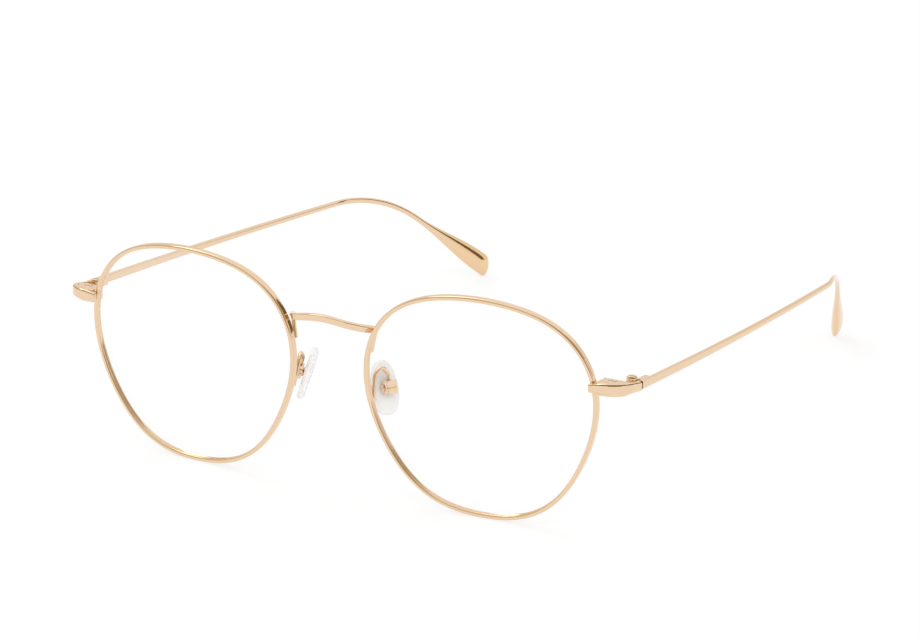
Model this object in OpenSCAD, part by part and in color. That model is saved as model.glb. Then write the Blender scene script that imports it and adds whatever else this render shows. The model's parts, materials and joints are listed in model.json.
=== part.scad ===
// Wire eyeglasses: grooved rims, clear lenses, a bowed bridge, rocking nose pads and folding temples.
// Millimetres. X points to the wearer's left, Y runs back along the temples and Z is up.

/* [Lenses] */
// Width of a lens across the tip of its bevel
lens_w = 50.4; // [46.4:0.5:54.4]
// Height of a lens across the tip of its bevel
lens_h = 46; // [42:0.2:49]
// Distance between the two lenses
lens_gap = 17.9; // [15.9:0.5:21.9]
// Thickness of a lens
lens_t = 1.3; // [1:0.1:2]
// Radius of the lens surfaces
lens_curve = 132; // [110:2:220]
// Turn of each lens round the face in degrees
face_form = 4.2; // [2:0.1:6]
// How much flatter the top is than the bottom, as a share of the radius
pear = 0.039; // [0:0.001:0.06]
// How far the outline is squared, as a share of the radius
square_up = 0.007; // [0:0.001:0.02]
// How much wider than tall the outline is drawn, as a share of the radius
widen = 0.107; // [0.06:0.001:0.14]

/* [Rims] */
// Depth of the rim wire from front to back
rim_depth = 1.6; // [1.3:0.05:2]
// Width of the rim wire seen from the front
rim_width = 0.95; // [0.8:0.05:1.2]
// Depth of the groove that holds the lens
groove = 0.36; // [0.25:0.01:0.45]

/* [Bridge] */
// Height of the bridge bar
bridge_h = 1.45; // [1:0.05:2]
// Depth of the bridge bar
bridge_d = 1.1; // [0.8:0.05:1.5]
// Height of the bar ends above the middle of the lenses
bridge_z = 12.7; // [10.5:0.1:13.5]
// How far the middle of the bar stands in front of its ends
bridge_bow = 4.3; // [3:0.1:5]
// How far the middle of the bar stands above its ends
bridge_arch = 2.3; // [1.3:0.1:3.3]

/* [Nose pads] */
// Length of a pad
pad_l = 11.4; // [10:0.2:14]
// Width of a pad
pad_w = 6.4; // [6:0.2:8]
// Thickness of a pad
pad_t = 1.6; // [1.4:0.1:2.2]
// Outward slope of a pad from top to bottom in degrees
pad_splay = 19; // [12:1:25]
// Turn of a pad towards the front in degrees
pad_toe = 24; // [18:1:32]
// Diameter of the pad arm wire
arm_d = 0.9; // [0.7:0.05:1.1]

/* [Temples] */
// Length of the temple from the hinge to the bend
temple_run = 98; // [88:1:108]
// Radius of the bend over the ear
bend_r = 35; // [25:1:45]
// How far the end turns down in degrees
bend_drop = 36.5; // [28:0.5:45]
// Length of the straight end after the bend
tip_l = 24.5; // [22:0.5:30]
// How far the end turns in towards the head in degrees
curl = 15; // [8:0.5:18]
// How far the straight part bows in towards the head
temple_bow = 4; // [1:0.5:5]
// Downward slope of the temples against the front in degrees
panto = 6.7; // [4:0.1:10]
// Height of the temple at the hinge
temple_h = 1.85; // [1.7:0.05:2.4]
// Thickness of the temple at the hinge
temple_t = 0.95; // [0.85:0.05:1.1]
// Height of the flattened end
paddle_h = 5; // [4:0.1:6]

/* [Hidden] */
$fn = 48;

gold = [0.92, 0.77, 0.58];
dark_gold = [0.80, 0.62, 0.42];
steel = [0.72, 0.70, 0.68];
clear = [0.86, 0.92, 0.95, 0.35];
silicone = [0.90, 0.92, 0.92, 0.6];

// Small helpers
function unit(v) = v / norm(v);
function lerp(a, b, t) = a + (b - a) * t;
function ease(t) = let (c = min(1, max(0, t))) c * c * (3 - 2 * c);
function mean(list) = [for (i = [0 : 2]) [for (p = list) p[i]] * [for (p = list) 1 / len(list)]];

// Surface through a list of rings with the same number of points each, closed by flat ends
module skin(rings) {
    n = len(rings[0]);
    m = len(rings);
    points = concat([for (r = rings) for (p = r) p], [mean(rings[0]), mean(rings[m - 1])]);
    walls = [
        for (i = [0 : m - 2])
            for (j = [0 : n - 1])
                let (a = i * n + j, b = i * n + (j + 1) % n)
                    each [[a, b, b + n], [a, b + n, a + n]]
    ];
    ends = [
        for (j = [0 : n - 1])
            let (k = (j + 1) % n, last = (m - 1) * n)
                each [[m * n, k, j], [m * n + 1, last + j, last + k]]
    ];
    polyhedron(points, concat(walls, ends), convexity = 8);
}

// Rounded rectangle with half sizes a and b, as a list of points
function blunt(c, power) = sign(c) * pow(abs(c), 2 / power);
function pillow(a, b, power, count) = [
    for (i = [0 : count - 1])
        let (t = 360 * (i + 0.5) / count)
            [a * blunt(cos(t), power), b * blunt(sin(t), power)]
];

// Outline of a lens, centred on its box, with a small gap where the rim is split
lens_steps = 84;
split_at = 16.6;
split_half = 0.16;
slope_in = 0.005;
nose_cut = 0.0025;
round_off = 0.0135;
function radius(t) =
    1 + widen * cos(2 * t) - slope_in * sin(2 * t) + pear * sin(3 * t) - nose_cut * cos(3 * t)
    - square_up * cos(4 * t) + round_off * sin(5 * t);
turns = [for (i = [0 : lens_steps]) split_at + split_half + i * (360 - 2 * split_half) / lens_steps];
dense = [for (t = [0 : 359]) radius(t) * [cos(t), sin(t)]];
raw_low = [min([for (p = dense) p.x]), min([for (p = dense) p.y])];
raw_high = [max([for (p = dense) p.x]), max([for (p = dense) p.y])];
function edge(t) =
    let (p = radius(t) * [cos(t), sin(t)], q = p - (raw_low + raw_high) / 2)
        [q.x * lens_w / (raw_high.x - raw_low.x), q.y * lens_h / (raw_high.y - raw_low.y)];
function outward(t) = let (d = edge(t + 0.5) - edge(t - 0.5)) unit([d.y, -d.x]);
function sag(p) = lens_curve - sqrt(lens_curve * lens_curve - p * p);

// Point at a turn of the outline, moved out by r and back by b, in the lens and in the front
function at_edge(t, r, b) = let (p = edge(t), q = p + outward(t) * r) [q.x, sag(p) + b, q.y];
lens_x = lens_w / 2 + lens_gap / 2;
function lens_to_front(p) = [
    lens_x + p.x * cos(face_form) - p.y * sin(face_form),
    p.x * sin(face_form) + p.y * cos(face_form),
    p.z
];

// Rim wire profile: distance out from the bevel tip and distance back
lens_fit = 0.03;
rim_in = lens_fit - groove;
rim_out = rim_in + rim_width;
rim_half = rim_depth / 2;
rim_profile = [
    [rim_in, rim_half - 0.12], [rim_in + 0.12, rim_half],
    [rim_out - 0.36, rim_half], [rim_out - 0.1, rim_half - 0.1], [rim_out, rim_half - 0.4],
    [rim_out, 0.4 - rim_half], [rim_out - 0.1, 0.1 - rim_half], [rim_out - 0.36, -rim_half],
    [rim_in + 0.12, -rim_half], [rim_in, 0.12 - rim_half],
    [rim_in, -groove], [lens_fit, 0], [rim_in, groove]
];
rim_rings = [for (t = turns) [for (s = rim_profile) at_edge(t, s.x, s.y)]];

// Temple frame: its Y axis runs along the temples and its Z axis along the hinges
hinge_x = lens_x + lens_w / 2 + 4.4;
hinge_y = 11;
temple_z = 8.6;
function temple_to_front(p) = [
    p.x,
    p.y * cos(panto) + p.z * sin(panto),
    temple_z - p.y * sin(panto) + p.z * cos(panto)
];

// Temple centre line, as distance along it from the hinge
bend_l = bend_r * bend_drop * PI / 180;
temple_l = temple_run + bend_l + tip_l;
strap_t = 1.1;
strap_out = hinge_x + 2.45;
knuckle_gap = 0.08;
curl_start = temple_run - 3;
curl_r = 16;
function drop_at(s) = bend_drop * min(1, max(0, (s - temple_run) / bend_l));
function bend(s, start, r, angle) =
    let (
        arc = r * angle * PI / 180,
        a = angle * min(1, max(0, (s - start) / arc)),
        past = max(0, s - start - arc)
    )
        [min(s, start) + r * sin(a) + past * cos(a), r * (1 - cos(a)) + past * sin(a)];
function bow_at(t) = temple_bow * (t < 1 ? t * t : 2 * t - 1);
function temple_at(s) =
    let (down = bend(s, temple_run, bend_r, bend_drop), inward = bend(s, curl_start, curl_r, curl))
        [
            strap_out - temple_t / 2 - bow_at(s / temple_run) - inward[1],
            hinge_y + down[0],
            -down[1]
        ];

// Temple section: tall at the hinge, round at the bend, flat at the end
wire_h = 1.3;
wire_t = 1.1;
paddle_t = 2;
flare_l = 24;
function flare(s) = ease((s - temple_l + flare_l) / (flare_l - 3));
function temple_high(s) = lerp(lerp(temple_h, wire_h, min(1, s / temple_run)), paddle_h, flare(s));
function temple_thick(s) = lerp(lerp(temple_t, wire_t, min(1, s / temple_run)), paddle_t, flare(s));
function temple_power(s) = s < 20 ? 5 : 3.4;
temple_stops = concat(
    [knuckle_gap, 6],
    [for (i = [1 : 8]) 6 + (curl_start - 6) * i / 8],
    [curl_start + 1.5],
    [for (i = [0 : 9]) temple_run + bend_l * i / 9],
    [for (i = [1 : 10]) temple_l - tip_l + (tip_l - 2) * i / 10]
);
temple_end = [[1.1, 0.96], [0.45, 0.82], [0.1, 0.6], [0, 0.42]];
end_slant = 0.2;
function slant_at(s) = end_slant * ease((s - temple_l + 8) / 8);
function temple_ring(s, size) =
    let (
        along = unit(temple_at(s + 0.05) - temple_at(s - 0.05)),
        up = [0, sin(drop_at(s)), cos(drop_at(s))],
        side = unit(cross(along, up)),
        a = temple_thick(s) / 2 * min(1, size + 0.1),
        b = temple_high(s) / 2 * size
    )
        [
            for (p = pillow(a, b, temple_power(s), 14))
                temple_at(s) + side * p.x + (up - along * slant_at(s)) * p.y
        ];
temple_rings = concat(
    [for (s = temple_stops) temple_ring(s, 1)],
    [for (e = temple_end) temple_ring(temple_l - e[0], e[1])]
);

// Standing position: rims and temple ends rest on the ground, the box is centred
rim_points = [for (r = rim_rings) for (p = r) lens_to_front(p)];
temple_points = [for (r = temple_rings) for (p = r) temple_to_front(p)];
function lowest(points, a) =
    let (h = [for (p = points) p.z * cos(a) + p.y * sin(a)], m = min(h))
        [for (i = [0 : len(h) - 1]) if (h[i] == m) points[i]][0];
rim_foot = lowest(rim_points, 4);
temple_foot = lowest(temple_points, 4);
lean = atan2(rim_foot.z - temple_foot.z, temple_foot.y - rim_foot.y);
function stood_z(p) = p.z * cos(lean) + p.y * sin(lean);
function stood_y(p) = p.y * cos(lean) - p.z * sin(lean);
ground = min(stood_z(lowest(rim_points, lean)), stood_z(lowest(temple_points, lean)));

// Bridge bar: its ends lie at the inner sides of the rims
bar_x = lens_gap / 2 + 0.6;
bar_y = 2.4;
bar_steps = 24;
function bar_at(t) = [
    bar_x * t,
    bar_y - bridge_bow * (1 - pow(t, 4)),
    bridge_z + bridge_arch * (1 - t * t)
];
function bar_ring(t) =
    let (
        d = unit(bar_at(t + 0.01) - bar_at(t - 0.01)),
        back = unit([d.y, -d.x, 0]),
        up = cross(back, d)
    )
        [for (p = pillow(bridge_d / 2, bridge_h / 2, 4, 16)) bar_at(t) + back * p.x + up * p.y];
bar_rings = [for (i = [-bar_steps : bar_steps]) bar_ring(i / bar_steps)];
foot_d = 1;
foot_low = lens_to_front(at_edge(166, 0.1, rim_half + foot_d / 2 + 0.06));
bar_end = unit(bar_at(1) - bar_at(0.98));
foot_top = bar_at(1) + [bar_end.x, bar_end.y, 0] * (foot_d / 2 + 0.2) + [0, 0, bridge_h / 2 - 0.3];

front_most = min([for (r = bar_rings) for (p = r) stood_y(p)]);
back_most = max([for (p = temple_points) stood_y(p)]);
mid_y = (front_most + back_most) / 2;

// Places: the standing front, one of its sides, a lens, a temple frame and a nose pad
module stood() {
    translate([0, -mid_y, -ground]) rotate([lean, 0, 0]) children();
}

module side(s) {
    stood() mirror([s < 0 ? 1 : 0, 0, 0]) children();
}

module in_lens() {
    translate([lens_x, 0, 0]) rotate([0, 0, face_form]) children();
}

module in_temple() {
    translate([0, 0, temple_z]) rotate([-panto, 0, 0]) children();
}

pad_tip = -4.9;
pad_at = [lens_gap / 2 + 0.15, 6.6, -1.5];
module in_pad() {
    translate(pad_at) rotate([pad_tip, -pad_splay, -pad_toe]) children();
}
function turn_x(p, a) = [p.x, p.y * cos(a) - p.z * sin(a), p.y * sin(a) + p.z * cos(a)];
function turn_y(p, a) = [p.x * cos(a) + p.z * sin(a), p.y, p.z * cos(a) - p.x * sin(a)];
function turn_z(p, a) = [p.x * cos(a) - p.y * sin(a), p.x * sin(a) + p.y * cos(a), p.z];
function pad_to_front(p) = pad_at + turn_z(turn_y(turn_x(p, pad_tip), -pad_splay), -pad_toe);

// Front
module rim() {
    color(gold) in_lens() skin(rim_rings);
}

lens_back = lens_t / 2;
lens_shares = [0.25, 0.55, 0.85];
function lens_ring(share, face) = [
    for (t = turns)
        let (p = share * edge(t))
            [p.x, sag(p) + face * lens_back, p.y]
];
function bevel_ring(r, face) = [for (t = turns) at_edge(t, r, face * lens_back)];
lens_rings = concat(
    [for (k = lens_shares) lens_ring(k, -1)],
    [bevel_ring(-lens_back, -1), bevel_ring(0, 0), bevel_ring(-lens_back, 1)],
    [for (i = [len(lens_shares) - 1 : -1 : 0]) lens_ring(lens_shares[i], 1)]
);
module lens() {
    color(clear) in_lens() skin(lens_rings);
}

module rod(a, b, d) {
    v = b - a;
    translate(a) rotate([0, acos(v.z / norm(v)), atan2(v.y, v.x)]) cylinder(d = d, h = norm(v), $fn = 24);
}

module bridge() {
    color(gold) stood() skin(bar_rings);
}

module bridge_foot() {
    color(gold) rod(foot_low, foot_top, foot_d);
}

// End piece: a strap in plan, cut to its height as seen from the front
strap_front = 2.3;
strap_r = 5;
strap_start = lens_x + lens_w / 2 - 0.85;
corner = [strap_out - strap_r, strap_front + strap_r];
strap_half = temple_h / 2 + 0.05;
function strap_low(t) = lerp(-0.75, -strap_half, t * t) + 0.1 * sin(180 * t * t);
function strap_high(t) = strap_half + 0.65 * sin(180 * t * t);
strap_steps = 14;
module strap_plan() {
    translate([strap_start, strap_front]) square([corner.x - strap_start, strap_t]);
    intersection() {
        translate(corner)
            difference() {
                circle(r = strap_r);
                circle(r = strap_r - strap_t);
            }
        translate([corner.x, strap_front]) square(strap_r);
    }
    translate([strap_out - strap_t, corner.y]) square([strap_t, hinge_y - knuckle_gap - corner.y]);
}

module strap_view() {
    shares = [for (i = [0 : strap_steps]) i / strap_steps];
    polygon(concat(
        [for (t = shares) [lerp(strap_start, strap_out, t), strap_low(t)]],
        [for (t = shares) [lerp(strap_out, strap_start, t), strap_high(1 - t)]]
    ));
}

module end_piece() {
    color(gold) in_temple()
        intersection() {
            translate([0, 0, -4]) linear_extrude(8) strap_plan();
            translate([0, 30, 0]) rotate([90, 0, 0]) linear_extrude(40) strap_view();
        }
}

// Rim lock: two blocks inside the strap, drawn together by a screw
lock_start = lens_x + lens_w / 2 + 0.28;
lock_gap = 0.06;
lock_top = 1.4;
lock_low = -1.6;
lock_screw_at = [corner.x + 0.9, corner.y - 1.5];
lock_screw_r = 0.55;
module lock_plan() {
    intersection() {
        translate(corner) circle(r = strap_r - strap_t - 0.05);
        translate([corner.x, strap_front]) square(strap_r);
    }
    translate([lock_start, strap_front + strap_t + 0.05])
        square([corner.x - lock_start, strap_r - strap_t - 0.05]);
}

module lock_upper() {
    color(gold) in_temple()
        difference() {
            translate([0, 0, lock_gap]) linear_extrude(lock_top - lock_gap) lock_plan();
            translate(lock_screw_at) cylinder(r = lock_screw_r + 0.02, h = 4);
            translate([lock_screw_at.x, lock_screw_at.y, lock_top - 0.4]) cylinder(r = 0.85, h = 2);
        }
}

module lock_lower() {
    color(gold) in_temple()
        difference() {
            translate([0, 0, lock_low]) linear_extrude(-lock_low - lock_gap) lock_plan();
            translate([lock_screw_at.x, lock_screw_at.y, -3]) cylinder(r = lock_screw_r + 0.02, h = 4);
        }
}

module slotted_head(r, h) {
    difference() {
        cylinder(r = r, h = h);
        translate([-r, -0.1, h * 0.45]) cube([2 * r, 0.2, h]);
    }
}

module lock_screw() {
    color(steel) in_temple() translate(lock_screw_at) {
        translate([0, 0, lock_low]) cylinder(r = lock_screw_r, h = lock_top - 0.38 - lock_low);
        translate([0, 0, lock_top - 0.38]) slotted_head(0.8, 0.38);
    }
}

// Hinge: two knuckles on the end piece and one on the temple, round one screw
knuckle_r = 1.15;
knuckle_h = 1.1;
knuckle_top = 1.3;
hinge_bore_r = 0.62;
hinge_pin_r = 0.59;
leaf_t = 0.95;
leaf_at = strap_out - strap_t - 0.03 - leaf_t;
leaf_h = 1.8;
leaf_l = 3.6;
front_leaf = leaf_l - 1.5;
outer_h = knuckle_top - knuckle_h / 2 - 0.05;

module knuckle(z, h) {
    translate([hinge_x, hinge_y, z]) cylinder(r = knuckle_r, h = h);
}

module hinge_bore(r) {
    translate([hinge_x, hinge_y, -4]) cylinder(r = r, h = 8);
}

module hinge_front() {
    color(dark_gold) in_temple()
        difference() {
            union() {
                translate([leaf_at, hinge_y - 1.3 - front_leaf, -leaf_h / 2])
                    cube([leaf_t, front_leaf, leaf_h]);
                for (z = [-knuckle_top, knuckle_top - outer_h]) {
                    knuckle(z, outer_h);
                    translate([leaf_at, hinge_y - 1.6, z]) cube([leaf_t - 0.1, 1.6, outer_h]);
                }
            }
            hinge_bore(hinge_bore_r);
        }
}

module hinge_temple() {
    color(dark_gold) in_temple()
        difference() {
            union() {
                translate([leaf_at, hinge_y + 1.3, 0.15 - leaf_h / 2])
                    cube([leaf_t + strap_t - temple_t, leaf_l, leaf_h - 0.3]);
                knuckle(-knuckle_h / 2, knuckle_h);
                translate([leaf_at, hinge_y, -knuckle_h / 2]) cube([leaf_t - 0.1, 1.6, knuckle_h]);
            }
            hinge_bore(hinge_bore_r);
        }
}

module hinge_screw() {
    color(steel) in_temple() translate([hinge_x, hinge_y, 0]) {
        translate([0, 0, -knuckle_top]) cylinder(r = hinge_pin_r, h = 2 * knuckle_top + 0.02);
        translate([0, 0, knuckle_top + 0.02]) slotted_head(0.95, 0.3);
    }
}

module temple() {
    color(gold) in_temple() skin(temple_rings);
}

// Nose pad group: X points away from the nose, Y along the screw, Z up the pad
pivot_x = pad_t / 2 + 0.85;
box_x = [pad_t / 2 + 0.35, pad_t / 2 + 2.1];
box_w = 2.7;
box_l = 2.7;
wall = 0.5;
pad_bore_r = 0.47;
pad_pin_r = 0.44;
plate = [0.5, 2.8, 5];
arm_r = arm_d / 2;

module along_y(r, l, y) {
    translate([pivot_x, y, 0]) rotate([-90, 0, 0]) cylinder(r = r, h = l);
}

module pad_box() {
    color(gold) in_pad()
        difference() {
            translate([box_x[0], -box_w / 2, -box_l / 2]) cube([box_x[1] - box_x[0], box_w, box_l]);
            translate([0, wall - box_w / 2, 0.35 - box_l / 2])
                cube([box_x[1] - wall + 0.1, box_w - 2 * wall, box_l - 0.7]);
            along_y(pad_bore_r, 8, -4);
        }
}

module pad_screw() {
    color(steel) in_pad() {
        along_y(pad_pin_r, box_w + 0.1, -box_w / 2 - 0.1);
        translate([pivot_x, -box_w / 2 - 0.01, 0]) rotate([90, 0, 0]) slotted_head(0.75, 0.4);
    }
}

lug_w = box_w - 2 * wall - 0.16;
module pad_core() {
    color(dark_gold) in_pad()
        difference() {
            union() {
                translate([pad_t / 2 - plate.x, -plate.y / 2, -plate.z / 2]) cube(plate);
                translate([pad_t / 2 - 0.1, -lug_w / 2, -0.75])
                    cube([pivot_x + 0.55 - pad_t / 2 + 0.1, lug_w, 1.5]);
            }
            along_y(pad_bore_r, 8, -4);
        }
}

pad_layers = [[0.5, 0.76], [0.47, 0.86], [0.35, 0.95], [0.1, 1], [-0.2, 0.98], [-0.42, 0.86], [-0.5, 0.7]];
function pad_outline(k) = [
    for (p = pillow(pad_w / 2, pad_l / 2, 2.3, 36))
        [p.x * (1 - 0.1 * p.y / pad_l * 2) * k, p.y - (1 - k) * pad_w / 2 * p.y / (pad_l / 2)]
];
pad_rings = [for (q = pad_layers) [for (p = pad_outline(q[1])) [q[0] * pad_t, p.x, p.y]]];
module nose_pad() {
    color(silicone) in_pad()
        difference() {
            skin(pad_rings);
            translate([pad_t / 2 - plate.x - 0.03, -plate.y / 2 - 0.03, -plate.z / 2 - 0.03])
                cube([2, plate.y + 0.06, plate.z + 0.06]);
        }
}

// Pad arm: from the back of the rim up, back and down to the top of the pad box
arm_foot = rim_half + arm_r + 0.03;
arm_x = (box_x[0] + box_x[1]) / 2;
arm_end = pad_to_front([arm_x, 0, box_l / 2 + 0.02]);
arm_lift = pad_to_front([arm_x, 0, box_l / 2 + 1.6]);
arm_knots = [
    lens_to_front(at_edge(188, 0.15, arm_foot)),
    lens_to_front(at_edge(185, 0.1, arm_foot + 0.05)),
    lens_to_front(at_edge(180.5, -0.1, arm_foot + 0.7)),
    lens_to_front(at_edge(176.5, -0.4, arm_foot + 1.5)),
    (lens_to_front(at_edge(176, -0.5, arm_foot + 1.8)) + arm_lift) / 2 + [0, 0, 1],
    arm_lift,
    arm_end
];
function spline(a, b, c, d, t) =
    0.5 * (2 * b + (c - a) * t + (2 * a - 5 * b + 4 * c - d) * t * t + (3 * b - a - 3 * c + d) * t * t * t);
function knot(i) =
    let (n = len(arm_knots) - 1)
        i < 0 ? 2 * arm_knots[0] - arm_knots[1]
        : i > n ? 2 * arm_knots[n] - arm_knots[n - 1]
        : arm_knots[i];
function arm_at(t) =
    let (i = min(len(arm_knots) - 2, max(0, floor(t))))
        spline(knot(i - 1), knot(i), knot(i + 1), knot(i + 2), t - i);
arm_steps = 5;
arm_spans = len(arm_knots) - 1;
module pad_arm() {
    rings = [
        for (i = [0 : arm_steps * arm_spans])
            let (
                t = i / arm_steps,
                d = unit(arm_at(min(arm_spans, t + 0.02)) - arm_at(max(0, t - 0.02))),
                a = unit(cross(d, [1, 0, 0])),
                b = cross(a, d)
            )
                [for (j = [0 : 11]) arm_at(t) + arm_r * (cos(30 * j) * a + sin(30 * j) * b)]
    ];
    color(gold) skin(rings);
}

bridge();

side(1) bridge_foot();  // left_bridge_foot
side(1) rim();  // left_rim
side(1) lens();  // left_lens
side(1) lock_upper();  // left_lock_upper
side(1) lock_lower();  // left_lock_lower
side(1) lock_screw();  // left_lock_screw
side(1) end_piece();  // left_end_piece
side(1) hinge_front();  // left_hinge_front
side(1) hinge_temple();  // left_hinge_temple
side(1) hinge_screw();  // left_hinge_screw
side(1) temple();  // left_temple
side(1) pad_arm();  // left_pad_arm
side(1) pad_box();  // left_pad_box
side(1) pad_screw();  // left_pad_screw
side(1) pad_core();  // left_pad_core
side(1) nose_pad();  // left_nose_pad

side(-1) bridge_foot();  // right_bridge_foot
side(-1) rim();  // right_rim
side(-1) lens();  // right_lens
side(-1) lock_upper();  // right_lock_upper
side(-1) lock_lower();  // right_lock_lower
side(-1) lock_screw();  // right_lock_screw
side(-1) end_piece();  // right_end_piece
side(-1) hinge_front();  // right_hinge_front
side(-1) hinge_temple();  // right_hinge_temple
side(-1) hinge_screw();  // right_hinge_screw
side(-1) temple();  // right_temple
side(-1) pad_arm();  // right_pad_arm
side(-1) pad_box();  // right_pad_box
side(-1) pad_screw();  // right_pad_screw
side(-1) pad_core();  // right_pad_core
side(-1) nose_pad();  // right_nose_pad
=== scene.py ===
"""Looks of a pair of wire eyeglasses: plated wire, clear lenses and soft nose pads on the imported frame."""

import json
import math

import bmesh
import bpy
import numpy as np
from bpy.props import FloatProperty, FloatVectorProperty, PointerProperty
from mathutils import Matrix, Vector

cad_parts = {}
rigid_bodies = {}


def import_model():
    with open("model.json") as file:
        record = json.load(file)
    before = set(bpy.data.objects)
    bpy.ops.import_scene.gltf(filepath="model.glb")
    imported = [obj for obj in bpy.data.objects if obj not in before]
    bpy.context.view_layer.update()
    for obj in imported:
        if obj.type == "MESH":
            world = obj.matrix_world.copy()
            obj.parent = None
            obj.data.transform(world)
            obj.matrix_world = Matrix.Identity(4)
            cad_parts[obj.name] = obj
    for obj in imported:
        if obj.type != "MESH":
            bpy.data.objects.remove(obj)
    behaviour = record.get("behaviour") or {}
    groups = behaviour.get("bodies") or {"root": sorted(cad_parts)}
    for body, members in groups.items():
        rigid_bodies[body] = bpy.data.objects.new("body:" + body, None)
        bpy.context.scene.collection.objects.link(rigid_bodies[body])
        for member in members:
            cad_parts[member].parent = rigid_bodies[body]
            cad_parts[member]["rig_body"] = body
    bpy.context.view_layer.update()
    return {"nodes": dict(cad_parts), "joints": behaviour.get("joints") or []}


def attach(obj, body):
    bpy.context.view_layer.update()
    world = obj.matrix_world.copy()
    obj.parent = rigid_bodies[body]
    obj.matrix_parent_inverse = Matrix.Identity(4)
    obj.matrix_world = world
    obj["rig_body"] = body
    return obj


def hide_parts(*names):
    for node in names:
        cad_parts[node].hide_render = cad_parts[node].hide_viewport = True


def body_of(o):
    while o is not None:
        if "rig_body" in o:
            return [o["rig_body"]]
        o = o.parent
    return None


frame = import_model()

bl_info = {
    "name": "Wire eyeglasses",
    "version": (1, 0, 0),
    "blender": (4, 5, 0),
    "location": "View3D > Sidebar > Eyeglasses",
    "description": "Dresses a pair of wire eyeglasses in plated gold, clear lenses and soft nose pads",
    "category": "Object",
}

SIDES = {"left": 1, "right": -1}
FOLD = next(j for j in frame["joints"] if j["name"] == "left_temple_fold")
MM = 0.001
HINGE_BACK = 11 * MM  # hinge axis behind the lens plane
TEMPLE_RISE = 8.6 * MM  # temples above the middle of the lenses
STRAP_FACE = 2.3 * MM  # front of the end pieces behind the lens plane
LENS_FIT = 0.03 * MM  # play between a bevel and its groove
END_STEPS = 5  # points that round off each end of a bar
PAD_PIVOT = 0.85 * MM  # pad screw behind the back of the pad
SCREWS = {  # end, neck, top, shank radius and head radius; then the slot's top and depth, all in millimetres
    "lock": ((-1.25, 1.02, 1.38, 0.55, 0.8), 1.4, 0.21),
    "hinge": ((-1.3, 1.32, 1.6, 0.59, 0.95), 1.62, 0.17),
    "pad": ((-1.35, 1.36, 1.74, 0.44, 0.75), 1.76, 0.22),
}
PAD_SPOT = (0.15 * MM, 6.6 * MM, -1.5 * MM)  # a pad's place from the lens edge, plane and middle
PAD_TIP = math.radians(-4.9)  # turn of a pad about the line through the nose


def length(name, description, millimetres):
    """A length in the settings."""
    return FloatProperty(
        name=name, description=description, default=millimetres * MM, min=0, precision=5, subtype="DISTANCE",
        unit="LENGTH",
    )


def angle(name, description, degrees):
    """An angle in the settings."""
    return FloatProperty(
        name=name, description=description, default=math.radians(degrees), subtype="ANGLE", unit="ROTATION"
    )


def share(name, description, value):
    """A plain share in the settings."""
    return FloatProperty(
        name=name, description=description, default=value, min=0, max=1, precision=4, subtype="FACTOR"
    )


def colour(name, description, value):
    """A colour in the settings, in linear light."""
    return FloatVectorProperty(
        name=name, description=description, default=value, size=4, min=0, max=1, subtype="COLOR"
    )


def place(name, description, value):
    """A point of the stage in the settings."""
    return FloatVectorProperty(
        name=name, description=description, default=value, size=3, precision=5, subtype="XYZ", unit="LENGTH"
    )


class LensSizes(bpy.types.PropertyGroup):
    """Sizes of the lenses, which the rims follow."""

    width: length("Width", "Width of a lens across its bevel", 50.4)
    height: length("Height", "Height of a lens across its bevel", 46)
    gap: length("Gap", "Distance between the two lenses", 17.9)
    thickness: length("Thickness", "Thickness of a lens", 1.3)
    curve: length("Curve", "Radius of the lens surfaces", 132)
    face_form: angle("Face form", "Turn of each lens round the face", 4.2)
    pear: share("Pear", "How much flatter the top is than the bottom", 0.039)
    square_up: share("Square up", "How far the outline is squared", 0.007)
    widen: share("Widen", "How much wider than tall the outline is drawn", 0.107)


class FrontSizes(bpy.types.PropertyGroup):
    """Sizes of the rims, the bridge and the end pieces."""

    rim_depth: length("Rim depth", "Depth of the rim wire from front to back", 1.6)
    rim_width: length("Rim width", "Width of the rim wire seen from the front", 0.95)
    groove: length("Groove", "Depth of the groove that holds the lens", 0.36)
    split_turn: angle("Split", "Place of the rim's split round the lens", 16.6)
    bridge_height: length("Bridge height", "Height of the bridge bar", 1.45)
    bridge_depth: length("Bridge depth", "Depth of the bridge bar", 1.1)
    bridge_rise: length("Bridge rise", "Height of the bar ends above the middle of the lenses", 12.7)
    bridge_bow: length("Bridge bow", "How far the bar's middle stands in front of its ends", 4.3)
    bridge_arch: length("Bridge arch", "How far the bar's middle stands above its ends", 2.3)
    foot_wire: length("Foot wire", "Diameter of the wires under the bar's ends", 1)
    strap: length("Strap", "Thickness of the end pieces", 1.1)
    corner: length("Corner", "Outer radius of the end piece's turn", 5)
    soft_edge: length("Soft edge", "Radius of the polished edges", 0.12)


class PadSizes(bpy.types.PropertyGroup):
    """Sizes of the nose pads and the wires that carry them."""

    length: length("Length", "Length of a pad", 11.4)
    width: length("Width", "Width of a pad", 6.4)
    thickness: length("Thickness", "Thickness of a pad", 1.6)
    splay: angle("Splay", "Outward slope of a pad from top to bottom", 19)
    toe: angle("Toe", "Turn of a pad towards the front", 24)
    arm_wire: length("Arm wire", "Diameter of the pad arms", 0.9)


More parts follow.
